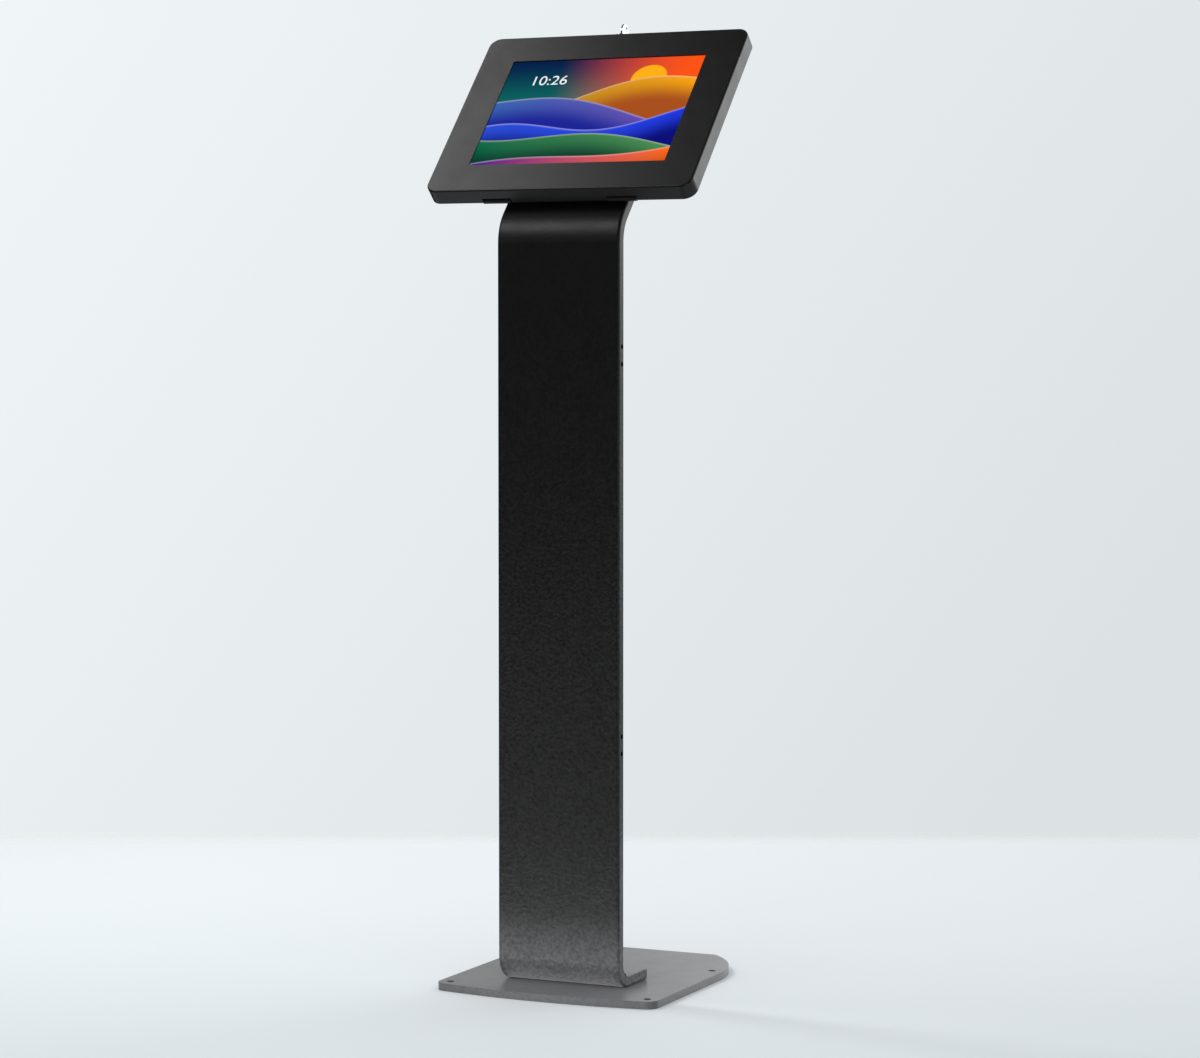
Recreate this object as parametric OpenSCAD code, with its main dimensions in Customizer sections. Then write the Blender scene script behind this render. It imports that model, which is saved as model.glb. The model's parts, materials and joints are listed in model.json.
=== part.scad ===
// Floor-standing tablet kiosk: a folded steel column on a flat base plate carries
// a leaning, lockable steel enclosure with a tablet behind its window.
// Millimetres. The origin is the middle of the base plate's underside, +Z points up,
// +Y to the back, and +X to the right of a person who faces the screen.

/* [Base plate] */
// Width of the base plate
base_w = 254; // [240:1:280]
// Length of the base plate, front to back
base_len = 282; // [276:1:300]
// Thickness of the base plate
base_t = 8; // [7:0.5:12]
// How far the front edge bows out at its middle
base_bow = 12; // [6:1:16]
// Radius of the two front corners
base_corner_r = 13; // [8:1:20]
// Length of the round tail behind the straight sides
base_tail = 98; // [85:1:110]
// Diameter of the floor anchor holes
anchor_d = 8; // [6:0.5:10]
// Distance from the anchor holes to the side edges
anchor_edge = 13; // [11:0.5:16]
// Distance from the front edge to the front anchor holes
anchor_front = 23; // [20:1:30]
// Distance between the front and the rear anchor holes
anchor_pitch = 171; // [150:1:180]

/* [Column] */
// Width of the column
column_w = 140.5; // [130:0.5:150]
// Depth of the column, front to back
column_d = 11; // [10:0.5:14]
// Thickness of the column's steel sheet
column_sheet = 2; // [1.5:0.1:2.4]
// Outside radius of the column's folded edges
column_fold_r = 3; // [2.6:0.1:4]
// Distance from the front edge of the base to the column
column_setback = 48; // [42:1:60]
// Length of the foot, from the front of the column to its open end
foot_len = 72; // [68:1:90]
// Inside radius of the bend above the foot
foot_bend_r = 15; // [10:1:18]
// Height at which the column starts to lean back
lean_z = 787; // [760:1:900]
// Angle by which the neck and the enclosure lean back
lean = 43; // [30:1:55]
// Inside radius of the neck bend
neck_bend_r = 36; // [30:1:50]
// Length of the neck between its bend and the enclosure's lower edge
neck_gap = 3; // [2:1:20]
// Length of the neck behind the enclosure
neck_reach = 182; // [180:1:200]

/* [Rear cover] */
// Height of the rear cover's lower end above the floor
rear_cover_z = 225; // [120:1:260]
// Length of the rear cover
rear_cover_h = 485; // [300:1:490]
// Thickness of the rear cover's sheet
rear_cover_sheet = 1.5; // [1:0.1:2]
// Depth of the rear cover's side flanges
rear_cover_flange = 6.5; // [6:0.1:7]
// Outside radius of the rear cover's folds
rear_cover_fold_r = 2.2; // [2.1:0.1:3]
// Gap between the rear cover and the column's walls
rear_cover_gap = 0.3; // [0.1:0.1:0.5]
// Distance from an end of the rear cover to the middle of its screw pair
side_screw_inset = 40; // [25:1:60]
// Distance between the two screws of a pair
side_screw_pitch = 18; // [12:1:30]
// Distance from the side screws to the column's rear edge
side_screw_edge = 3.6; // [3.4:0.1:3.8]

/* [Enclosure] */
// Width of the front cover
cover_w = 305; // [298:1:340]
// Height of the front cover, along its face
cover_h = 237; // [232:1:260]
// Depth of the front cover's walls
cover_d = 18.5; // [18.5:0.5:24]
// Thickness of the front cover's sheet
cover_sheet = 1.5; // [1.2:0.1:1.8]
// Radius of the front cover's corners, seen from the front
cover_corner_r = 13; // [9:1:18]
// Radius of the bend between the front cover's face and its walls
cover_edge_r = 1.8; // [1.2:0.1:2.5]
// Width of the screen window
window_w = 226; // [200:1:228]
// Height of the screen window
window_h = 160; // [140:1:162]
// Radius of the window's corners
window_r = 1; // [0.5:0.5:4]
// Depth of the rear housing's tray behind the front cover
tray_d = 12.2; // [12:0.1:18]
// Width of the tray
tray_w = 196; // [180:1:198]
// Distance from the tray to the lower edge of the enclosure
tray_low = 20; // [14:1:26]
// Distance from the tray to the upper edge of the enclosure
tray_high = 12; // [11.5:0.5:13]
// Radius of the tray's corners
tray_corner_r = 14; // [8:1:20]
// Radius of the bend round the tray's floor
tray_edge_r = 2.5; // [1.8:0.1:4]
// Thickness of the rear housing's sheet
housing_sheet = 1.5; // [1.2:0.1:1.8]
// Gap between the front cover and the rear housing
lid_gap = 0.5; // [0.3:0.1:0.8]
// Distance between the mounting bolts, both ways
mount_pitch = 100; // [75:1:110]
// Diameter of the cable hole from the neck into the housing
cable_hole_d = 24; // [18:1:30]
// Wall of the rubber grommet in the cable hole
grommet_wall = 3; // [2:0.5:4]
// Width and thickness of the grommet's two lips
grommet_lip = 1.5; // [1:0.5:2.5]

/* [Hinge] */
// Distance between the middles of the two hinge knuckles
hinge_pitch = 143.6; // [120:0.1:170]
// Width of a hinge knuckle
knuckle_w = 32.4; // [26:0.1:38]
// Outside radius of a hinge knuckle
knuckle_r = 3.4; // [3:0.1:3.8]
// Height of the hinge pins above the cover's lower edge
pin_u = 2; // [1.9:0.1:2.4]
// Distance of the hinge pins from the cover's rear edge
pin_inset = 1.5; // [1.2:0.1:1.8]
// Diameter of the hinge pins
pin_d = 2; // [1.6:0.1:2.2]
// Width of the cover's hinge ears
ear_w = 5; // [4:0.5:7]
// Gap beside and in front of a knuckle
knuckle_gap = 0.6; // [0.4:0.1:1]

/* [Lock] */
// Diameter of the lock's barrel
barrel_d = 12; // [11.5:0.5:12.5]
// Width of the barrel across its two flats
barrel_flats = 10.8; // [10.4:0.2:11.2]
// Length of the barrel below the cover's top wall
barrel_len = 18; // [17.5:0.5:18.5]
// Diameter of the lock's head
head_d = 16; // [14:0.5:17]
// Height of the lock's head
head_t = 2.2; // [1.8:0.1:3]
// Width of the lock nut across its flats
nut_across = 14; // [13.6:0.2:14.4]
// Thickness of the lock nut
nut_t = 4; // [3:0.5:5]
// Diameter of the turning plug
plug_d = 8.6; // [8.2:0.1:9]
// Diameter of the rim that keeps the plug in the barrel
plug_rim_d = 10; // [9.6:0.1:10.4]
// Length of the cam from the lock's axis to its tip
cam_len = 17; // [14:0.5:18]
// Width of the cam
cam_w = 9; // [8:0.5:9.5]
// Thickness of the cam
cam_t = 2; // [1.5:0.1:2.5]
// Diameter of the key's round bow
bow_d = 17; // [14:0.5:20]
// Thickness of the key
key_t = 1.8; // [1.4:0.1:2]
// Width of the key's blade
blade_w = 6.2; // [5.5:0.1:6.6]
// Length of the key's blade
blade_len = 16; // [13:0.5:16.5]
// Width of the strike behind which the cam turns
strike_w = 15; // [14:0.5:18]
// Thickness of the strike's sheet
strike_sheet = 1.5; // [1.2:0.1:1.6]

/* [Tablet] */
// Width of the tablet
tablet_w = 248; // [244:1:252]
// Height of the tablet
tablet_h = 179; // [177:1:182]
// Thickness of the tablet
tablet_t = 7; // [6:0.1:8]
// Radius of the tablet's corners
tablet_corner_r = 14; // [8:1:20]
// Radius of the tablet's back edge
tablet_edge_r = 2.2; // [1:0.1:2.4]
// Thickness of the tablet's cover glass
glass_t = 0.8; // [0.6:0.1:1]
// Width of the metal rim round the glass
glass_rim = 0.7; // [0.5:0.1:1]
// Length of a button on the tablet's edge
button_len = 12; // [8:0.5:14]
// Height of a button
button_h = 2.4; // [1.8:0.1:2.4]
// How far a button stands out
button_out = 0.6; // [0.5:0.1:0.9]
// Travel of a button
button_travel = 0.4; // [0.2:0.1:0.5]
// Distance from a corner of the tablet to its nearest button
button_start = 32; // [32:1:60]
// Space between the two volume buttons
button_space = 4; // [3:0.5:8]
// Width of the charging port in the tablet's edge
port_w = 9; // [7:0.5:10]
// Thickness of the gasket round the window
gasket_t = 1.2; // [0.8:0.1:1.5]
// Width of the gasket
gasket_w = 6; // [4:0.5:7]
// Thickness of the wall of a corner holder beside the tablet
holder_wall = 5; // [4:0.5:6]
// Length of a corner holder's two legs
holder_leg = 30; // [26:1:34]
// Width of the shelf that carries the tablet
holder_shelf = 8; // [7:0.5:10]

/* [Fasteners] */
// Thread diameter of the foot bolts
foot_bolt_d = 6; // [5:0.5:7]
// Distance between the foot bolts, side to side
foot_bolt_x = 90; // [60:1:105]
// Distance between the foot bolts, front to back
foot_bolt_y = 24; // [18:1:26]
// Length of foot bolt in the base plate
foot_bolt_grip = 6; // [4:0.5:6.5]
// Thread diameter of the mounting bolts
mount_bolt_d = 5; // [4:0.5:6]
// Thread diameter of the small screws
screw_d = 3; // [2.5:0.1:3.2]
// Thickness of the washers
washer_t = 1.2; // [1:0.1:1.6]

/* [Hidden] */
$fn = 64;

// Clearances that several pieces share, and the overrun of a cut
run_gap = 0.05;
fit_gap = 0.02;
screw_gap = 0.1;
bolt_gap = 0.25;
pocket_gap = 0.3;
cut = 1;

// The column's bends are a hair thinner than its straight runs, which lap over them
bend_thin = 0.02;
bend_lap = 0.3;

// Fineness of the wide arcs: the bowed front, the round tail and the column's bends
bow_fn = 1440;
tail_fn = 360;
bend_fn = 180;

// Colours
black_steel = [0.13, 0.13, 0.135];
black_oxide = [0.08, 0.08, 0.085];
bright_steel = [0.72, 0.72, 0.74];
black_rubber = [0.06, 0.06, 0.06];
black_plastic = [0.1, 0.1, 0.11];
tablet_grey = [0.42, 0.43, 0.45];
screen_blue = [0.1, 0.16, 0.5];

// Places along the stand
base_front = -base_len / 2;
base_back = base_len / 2;
bow_r = (base_w * base_w / 4 + base_bow * base_bow) / (2 * base_bow);
bow_y = base_front + bow_r;
corner_x = base_w / 2 - base_corner_r;
corner_y = bow_y - sqrt(pow(bow_r - base_corner_r, 2) - corner_x * corner_x);
tail_y = base_back - base_tail;
anchor_x = base_w / 2 - anchor_edge;
anchor_y = base_front + anchor_front;
column_y = base_front + column_setback;
foot_r = foot_bend_r + column_d;
foot_start = column_y + foot_r;
foot_end = column_y + foot_len;
foot_mid = (foot_start + foot_end) / 2;
neck_r = neck_bend_r + column_d;
neck_y = column_y + neck_r * (1 - cos(lean));
neck_z = lean_z + neck_r * sin(lean);
side_screw_y = column_y + column_d - side_screw_edge;
side_screw_z = [for (end = [rear_cover_z + side_screw_inset, rear_cover_z + rear_cover_h - side_screw_inset],
    step = [-1, 1]) end + step * side_screw_pitch / 2];

// Places in the enclosure: u is up along the face, n is out of the face
enclosure_d = cover_d + tray_d;
face_y = neck_y + neck_gap * sin(lean) - enclosure_d * cos(lean);
face_z = neck_z + neck_gap * cos(lean) + enclosure_d * sin(lean);
mid_u = cover_h / 2;
pin_n = pin_inset - cover_d;
plate_n = housing_sheet - cover_d;
plate_w = cover_w - 2 * (cover_sheet + lid_gap);
plate_low = pin_u + norm([pin_u, pin_inset]) + lid_gap;
plate_high = cover_h - cover_sheet - lid_gap;
tray_h = cover_h - tray_low - tray_high;
tray_u = tray_low + tray_h / 2;
floor_n = housing_sheet - enclosure_d;

// Places along the lock's axis, from the outside of the cover's top wall
head_bevel = 0.6;
cam_top = -barrel_len - pocket_gap;
cam_low = cam_top - cam_t;
cam_hub_d = 11;
stub_w = 5;
cam_flange_d = 8;
cam_flange_t = 0.8;
cam_grip = 4;
cam_screw_low = cam_low - cam_flange_t - head_h(screw_d);
plug_top = head_t - 2 * screw_gap;
rim_t = 1.2;
rim_low = plug_top - rim_t;
key_low = plug_top + pocket_gap - blade_len;
key_slot_low = key_low - pocket_gap;
shoulder_w = 9;
shoulder_h = 1.6;
bow_mid = bow_d / 2 + head_t + shoulder_h;
ring_hole_d = 4.5;
key_cuts = 4;
key_cut_w = 1.2;
key_cut_pitch = 2.4;

// Places of the tablet and its seat
gasket_step = 1;
lock_room = 1.5;
tablet_u = min(mid_u, cover_h + cam_screw_low - lock_room - tablet_h / 2);
tablet_front = -cover_sheet - gasket_t - pocket_gap;
tablet_back = tablet_front - tablet_t;
tablet_side = (tablet_back + tablet_edge_r + tablet_front - glass_t) / 2;
button_in = 1.3;
port_h = 2.8;
port_depth = 6;
holder_top = tablet_front - glass_t - glass_rim;
holder_reach = holder_wall + pocket_gap;
holder_band = (holder_reach - holder_shelf) / 2;
holder_screw_step = 16;
holder_grip = (tablet_back - plate_n) * 0.7;

// Places of the strike
strike_x = nut_across / sqrt(3) + 2 * lid_gap;
strike_low = cover_h - tray_high + lid_gap;
strike_n = cam_w / 2 + pocket_gap + strike_sheet - cover_d / 2;
strike_tip = cover_h + cam_low - cam_t;

// The thread of a screw sets the size of its head, key, washer and nut
thread_tip = 0.6;
function head_w(d) = 1.8 * d;
function head_h(d) = 0.55 * d;
function key_w(d) = 0.65 * d;
function washer_w(d) = 2.1 * d;
function nut_w(d) = 1.6 * d;
function nut_h(d) = 0.8 * d;
function flush_w(d) = 1.7 * d;
function flush_h(d) = (flush_w(d) - d) / 2;

// A hexagon's width over its corners, from its width over its flats
function over_corners(flats) = flats * 2 / sqrt(3);

// Puts children in the enclosure's own axes: X across, Y up the face, Z out of the face
module enclosure_frame() {
    translate([0, face_y, face_z]) rotate([90 - lean, 0, 0]) children();
}

// Puts children on the lock's axis: Z out of the cover's top wall, Y towards the back
module lock_frame() {
    enclosure_frame() translate([0, cover_h, -cover_d / 2]) rotate([-90, 0, 0]) children();
}

// Places children at the four corners of a rectangle
module at_corners(x, y) {
    for (sx = [-1, 1], sy = [-1, 1]) translate([sx * x / 2, sy * y / 2]) children();
}

// Flat rectangle with round corners, centred, and grown all round by grow
module round_rect(w, h, r, grow = 0) {
    square([w - 2 * r, h + 2 * grow], center = true);
    square([w + 2 * grow, h - 2 * r], center = true);
    at_corners(w - 2 * r, h - 2 * r) circle(r = r + grow);
}

// Flat slot with round ends along X
module pill(len, h) {
    square([len - h, h], center = true);
    for (s = [-1, 1]) translate([s * (len - h) / 2, 0]) circle(d = h);
}

// Section through the rim of a pressed pan: the corner at its face is round
module rim_section(depth, reach, r) {
    translate([0, -depth]) square([reach, depth - r]);
    translate([0, -r]) square([reach - r, r]);
    translate([reach - r, -r]) intersection() {
        circle(r = r);
        square(r);
    }
}

// Block with round corners and a soft edge round its face, which lies at z = 0
module pressed_block(w, h, depth, corner_r, edge_r) {
    translate([0, 0, -depth / 2]) cube([w - 2 * corner_r, h - 2 * corner_r, depth], center = true);
    for (turn = [0:3]) rotate([0, 0, 90 * turn]) {
        across = turn % 2 == 0 ? w : h;
        along = turn % 2 == 0 ? h : w;
        translate([across / 2 - corner_r, along / 2 - corner_r, 0]) {
            rotate([90, 0, 0]) linear_extrude(along - 2 * corner_r) rim_section(depth, corner_r, edge_r);
            rotate_extrude(angle = 90) rim_section(depth, corner_r, edge_r);
        }
    }
}

// Outline of a folded block: the two corners at the front are round
module fold_block(w, d, r) {
    translate([-w / 2, r]) square([w, d - r]);
    translate([r - w / 2, 0]) square([w - 2 * r, d]);
    for (s = [-1, 1]) translate([s * (w / 2 - r), r]) circle(r = r);
}

// Section of a folded channel that opens to the back, its front face at y = 0
module channel_section(w, d, sheet, r) {
    difference() {
        fold_block(w, d, r);
        translate([0, sheet]) fold_block(w - 2 * sheet, d, r - sheet);
    }
}

// Cylinder along X, centred
module along_x(r, len) {
    rotate([0, 90, 0]) cylinder(r = r, h = len, center = true);
}

// Screw with a button head above z = 0 and its thread below
module button_screw(d, len) {
    rim = head_h(d) / 3;
    difference() {
        union() {
            translate([0, 0, -len]) cylinder(d = d, h = len);
            cylinder(d = head_w(d), h = head_h(d) - rim);
            translate([0, 0, head_h(d) - rim]) cylinder(d1 = head_w(d), d2 = head_w(d) - 3 * rim, h = rim);
        }
        translate([0, 0, head_h(d) / 2]) cylinder(d = over_corners(key_w(d)), h = d, $fn = 6);
    }
}

// Countersunk body with its face at z = 0, grown all round by gap to cut its hole
module flush_body(d, len, gap) {
    translate([0, 0, -len]) cylinder(d = d + 2 * gap, h = len);
    translate([0, 0, -flush_h(d)]) cylinder(d1 = d + 2 * gap, d2 = flush_w(d) + 2 * gap, h = flush_h(d));
}

// Countersunk screw with a hexagon key, its face at z = 0
module flush_screw(d, len) {
    difference() {
        flush_body(d, len, 0);
        translate([0, 0, -flush_h(d)]) cylinder(d = over_corners(key_w(d)), h = d, $fn = 6);
    }
}

module washer(d) {
    difference() {
        cylinder(d = washer_w(d), h = washer_t);
        translate([0, 0, -cut]) cylinder(d = d + 2 * bolt_gap, h = washer_t + 2 * cut);
    }
}

module hex_nut(across, bore, h) {
    difference() {
        cylinder(d = over_corners(across), h = h, $fn = 6);
        translate([0, 0, -cut]) cylinder(d = bore, h = h + 2 * cut);
    }
}

// Outline of the base: bowed front, straight sides, and a round tail that is cut off square
module base_outline() {
    spoke = [corner_x, corner_y - bow_y] / (bow_r - base_corner_r);
    past = [corner_x, corner_y] + 2 * base_corner_r * spoke;
    intersection() {
        translate([0, bow_y]) circle(r = bow_r, $fn = bow_fn);
        polygon([[-corner_x, corner_y], [-past[0], past[1]], past, [corner_x, corner_y]]);
    }
    for (s = [-1, 1]) translate([s * corner_x, corner_y]) circle(r = base_corner_r);
    translate([-base_w / 2, corner_y]) square([base_w, tail_y - corner_y]);
    intersection() {
        translate([0, tail_y]) circle(d = base_w, $fn = tail_fn);
        translate([-base_w / 2, tail_y]) square([base_w, base_tail]);
    }
}

module at_anchors() {
    translate([0, anchor_y + anchor_pitch / 2]) at_corners(2 * anchor_x, anchor_pitch) children();
}

module at_foot_bolts() {
    translate([0, foot_mid]) at_corners(foot_bolt_x, foot_bolt_y) children();
}

// Steel plate that stands on the floor, with four anchor holes and the threads of the foot bolts
module base_plate() color(black_steel) difference() {
    linear_extrude(base_t) base_outline();
    at_anchors() translate([0, 0, -cut]) cylinder(d = anchor_d, h = base_t + 2 * cut);
    at_foot_bolts() translate([0, 0, base_t - foot_bolt_grip - pocket_gap])
        cylinder(d = foot_bolt_d + 2 * run_gap, h = foot_bolt_grip + pocket_gap + cut);
}

module column_section(thin = 0) {
    translate([0, thin]) channel_section(column_w - 2 * thin, column_d - 2 * thin,
        column_sheet - 2 * thin, column_fold_r - thin);
}

// Bend of the channel about a line along X, from the start angle through the given turn
module column_bend(r, start, turn) {
    rotate([0, -90, 0]) rotate([0, 0, start]) rotate_extrude(angle = turn, $fn = bend_fn)
        translate([r, 0]) rotate([0, 0, 90]) column_section(bend_thin);
}

module at_side_screws() {
    for (s = [-1, 1], z = side_screw_z) translate([s * column_w / 2, side_screw_y, z])
        rotate([0, 90 * s, 0]) children();
}

module at_mount_bolts() {
    enclosure_frame() translate([0, mid_u, -enclosure_d]) at_corners(mount_pitch, mount_pitch) children();
}

// Hole through the neck and the housing's floor for the charging cable
module cable_hole() {
    enclosure_frame() translate([0, mid_u, -enclosure_d - column_sheet - cut])
        cylinder(d = cable_hole_d, h = column_sheet + housing_sheet + 2 * cut);
}

// One folded channel: the foot on the base, the upright, and the neck that leans back
module column() color(black_steel) difference() {
    union() {
        translate([0, foot_end, base_t]) rotate([90, 0, 0])
            linear_extrude(foot_end - foot_start + bend_lap) column_section();
        translate([0, foot_start, base_t + foot_r]) column_bend(foot_r, 180, 90);
        translate([0, column_y, base_t + foot_r - bend_lap])
            linear_extrude(lean_z - base_t - foot_r + 2 * bend_lap) column_section();
        translate([0, column_y + neck_r, lean_z]) column_bend(neck_r, -90, lean);
        enclosure_frame() translate([0, -neck_gap - bend_lap, -enclosure_d]) rotate([-90, 0, 0])
            linear_extrude(bend_lap + neck_gap + neck_reach) column_section();
    }
    at_foot_bolts() translate([0, 0, base_t - cut])
        cylinder(d = foot_bolt_d + 2 * bolt_gap, h = column_sheet + 2 * cut);
    at_side_screws() flush_body(screw_d, column_sheet + cut, screw_gap);
    at_mount_bolts() translate([0, 0, -column_sheet - cut])
        cylinder(d = mount_bolt_d + 2 * bolt_gap, h = column_sheet + 2 * cut);
    cable_hole();
}

module foot_washers() color(black_oxide)
    at_foot_bolts() translate([0, 0, base_t + column_sheet]) washer(foot_bolt_d);

module foot_bolts() color(black_oxide)
    at_foot_bolts() translate([0, 0, base_t + column_sheet + washer_t])
        button_screw(foot_bolt_d, washer_t + column_sheet + foot_bolt_grip);

// Folded sheet that closes the back of the upright over the cable
module rear_cover() color(black_steel) difference() {
    translate([0, column_y + column_d, rear_cover_z]) linear_extrude(rear_cover_h) mirror([0, 1])
        channel_section(column_w - 2 * (column_sheet + rear_cover_gap), rear_cover_flange,
            rear_cover_sheet, rear_cover_fold_r);
    at_side_screws() translate([0, 0, -column_sheet - rear_cover_gap - rear_cover_sheet - cut])
        cylinder(d = screw_d + 2 * run_gap, h = rear_cover_sheet + 2 * cut);
}

module rear_cover_screws() color(black_oxide)
    at_side_screws() flush_screw(screw_d, column_sheet + rear_cover_gap + rear_cover_sheet + thread_tip);

// Places children on the middle of each hinge
module at_hinges() {
    for (s = [-1, 1]) translate([s * hinge_pitch / 2, pin_u, pin_n]) children();
}

// Places children on the two screws of each corner holder
module at_holder_screws() {
    for (step = [[0, holder_screw_step], [holder_screw_step, 0]])
        translate([0, tablet_u]) at_corners(tablet_w + 2 * (holder_band - step[0]),
            tablet_h + 2 * (holder_band - step[1])) children();
}

module at_strike_screws() {
    for (s = [-1, 1]) translate([strike_x + strike_w / 2 + s * strike_w / 4,
        (strike_low + strike_sheet + plate_high - lid_gap) / 2]) children();
}

// Pressed back of the enclosure: a rim inside the front cover, a tray, and two hinge knuckles
module rear_housing() color(black_steel) difference() {
    enclosure_frame() difference() {
        union() {
            translate([0, (plate_low + plate_high) / 2, -cover_d]) linear_extrude(housing_sheet)
                round_rect(plate_w, plate_high - plate_low, cover_corner_r - cover_sheet - lid_gap);
            translate([0, tray_u, -enclosure_d]) mirror([0, 0, 1])
                pressed_block(tray_w, tray_h, tray_d + housing_sheet, tray_corner_r, tray_edge_r);
            at_hinges() {
                along_x(knuckle_r, knuckle_w);
                translate([-knuckle_w / 2, 0, -pin_inset])
                    cube([knuckle_w, plate_low - pin_u + cut, housing_sheet]);
            }
        }
        translate([0, tray_u, floor_n]) linear_extrude(enclosure_d)
            round_rect(tray_w, tray_h, tray_corner_r, -housing_sheet);
        at_hinges() along_x(pin_d / 2 + fit_gap, knuckle_w + 2 * cut);
        translate([0, 0, -cover_d - cut]) {
            at_holder_screws() cylinder(d = screw_d + 2 * screw_gap, h = housing_sheet + 2 * cut);
            at_strike_screws() cylinder(d = screw_d + 2 * screw_gap, h = housing_sheet + 2 * cut);
        }
    }
    at_mount_bolts() translate([0, 0, -cut])
        cylinder(d = mount_bolt_d + 2 * bolt_gap, h = housing_sheet + 2 * cut);
    cable_hole();
}

// Rubber ring in the cable hole, with a lip on each face
module cable_grommet() color(black_rubber) {
    outer = cable_hole_d / 2 - screw_gap;
    inner = cable_hole_d / 2 - grommet_wall;
    panel = column_sheet + housing_sheet;
    enclosure_frame() translate([0, mid_u, -enclosure_d - column_sheet]) rotate_extrude() {
        translate([inner, -grommet_lip]) square([outer - inner, panel + 2 * grommet_lip]);
        for (face = [-grommet_lip, panel])
            translate([inner, face]) square([outer - inner + grommet_lip, grommet_lip]);
    }
}

module mount_washers() color(black_oxide)
    at_mount_bolts() translate([0, 0, -column_sheet - washer_t]) washer(mount_bolt_d);

module mount_bolts() color(black_oxide)
    at_mount_bolts() translate([0, 0, -column_sheet - washer_t]) rotate([180, 0, 0])
        button_screw(mount_bolt_d,
            washer_t + column_sheet + housing_sheet + nut_h(mount_bolt_d) + thread_tip);

module mount_nuts() color(bright_steel)
    at_mount_bolts() translate([0, 0, housing_sheet])
        hex_nut(nut_w(mount_bolt_d), mount_bolt_d + 2 * run_gap, nut_h(mount_bolt_d));

module hinge_pins() color(bright_steel)
    enclosure_frame() at_hinges() along_x(pin_d / 2, knuckle_w + 2 * (knuckle_gap + ear_w - pocket_gap));

// Four moulded corners on the housing's rim, each with a shelf under the tablet and a wall beside it
module corner_holders() color(black_plastic) enclosure_frame() difference() {
    translate([0, tablet_u, plate_n]) linear_extrude(holder_top - plate_n) difference() {
        intersection() {
            round_rect(tablet_w, tablet_h, tablet_corner_r, holder_reach);
            at_corners(tablet_w + 2 * holder_reach - holder_leg, tablet_h + 2 * holder_reach - holder_leg)
                square(holder_leg, center = true);
        }
        square([tablet_w - 2 * holder_shelf, tablet_h - 2 * holder_shelf], center = true);
    }
    translate([0, tablet_u, tablet_back]) linear_extrude(tablet_t)
        round_rect(tablet_w, tablet_h, tablet_corner_r, pocket_gap);
    at_holder_screws() translate([0, 0, plate_n - cut])
        cylinder(d = screw_d + 2 * run_gap, h = cut + holder_grip + pocket_gap);
}

module holder_screws() color(black_oxide) enclosure_frame() translate([0, 0, -cover_d])
    at_holder_screws() rotate([180, 0, 0]) button_screw(screw_d, housing_sheet + holder_grip);

// Bent bracket on the housing's rim, with the lip that the cam turns behind
module strike() color(bright_steel) enclosure_frame() difference() {
    translate([strike_x, 0, 0]) {
        translate([0, strike_low, plate_n]) cube([strike_w, plate_high - lid_gap - strike_low, strike_sheet]);
        translate([0, strike_low, plate_n]) cube([strike_w, strike_sheet, strike_n - plate_n]);
        translate([0, strike_tip, strike_n - strike_sheet])
            cube([strike_w, strike_low + strike_sheet - strike_tip, strike_sheet]);
    }
    at_strike_screws() translate([0, 0, plate_n - cut])
        cylinder(d = screw_d + 2 * run_gap, h = strike_sheet + 2 * cut);
}

module strike_screws() color(black_oxide) enclosure_frame() translate([0, 0, -cover_d])
    at_strike_screws() rotate([180, 0, 0]) button_screw(screw_d, housing_sheet + strike_sheet + thread_tip);

// Places children on the tablet's left edge, X along the edge and Z outwards
module at_power_button() {
    translate([-tablet_w / 2, tablet_u + tablet_h / 2 - button_start - button_len / 2, tablet_side])
        rotate([0, -90, 0]) rotate([0, 0, 90]) children();
}

// Places children on the tablet's top edge, X along the edge and Z outwards
module at_volume_button(place) {
    start = button_start + button_len / 2 + place * (button_len + button_space);
    translate([start - tablet_w / 2, tablet_u + tablet_h / 2, tablet_side]) rotate([-90, 0, 0]) children();
}

module edge_button() {
    translate([0, 0, -button_in]) linear_extrude(button_in + button_out) pill(button_len, button_h);
}

module button_pocket() {
    depth = button_in + button_travel + screw_gap;
    translate([0, 0, -depth]) linear_extrude(depth + cut)
        pill(button_len + 2 * screw_gap, button_h + 2 * screw_gap);
}

// Aluminium back of the tablet, with pockets for the glass, the buttons and the charging port
module tablet_shell() color(tablet_grey) enclosure_frame() difference() {
    translate([0, tablet_u, tablet_back]) mirror([0, 0, 1])
        pressed_block(tablet_w, tablet_h, tablet_t, tablet_corner_r, tablet_edge_r);
    translate([0, tablet_u, tablet_front - glass_t]) linear_extrude(glass_t + cut)
        round_rect(tablet_w, tablet_h, tablet_corner_r, -glass_rim);
    at_power_button() button_pocket();
    for (place = [0, 1]) at_volume_button(place) button_pocket();
    translate([tablet_w / 2 - port_depth, tablet_u, tablet_side]) rotate([0, 90, 0]) rotate([0, 0, 90])
        linear_extrude(port_depth + cut) pill(port_w, port_h);
}

module tablet_glass() color(screen_blue) enclosure_frame()
    translate([0, tablet_u, tablet_front - glass_t]) linear_extrude(glass_t)
        round_rect(tablet_w, tablet_h, tablet_corner_r, -glass_rim - run_gap);

module power_button() color(tablet_grey) enclosure_frame() at_power_button() edge_button();

module volume_up_button() color(tablet_grey) enclosure_frame() at_volume_button(0) edge_button();

module volume_down_button() color(tablet_grey) enclosure_frame() at_volume_button(1) edge_button();

// Barrel outline with its two flats, grown by gap to cut its hole
module barrel_outline(gap) {
    intersection() {
        circle(d = barrel_d + 2 * gap);
        square([barrel_flats + 2 * gap, barrel_d + cut], center = true);
    }
}

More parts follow.
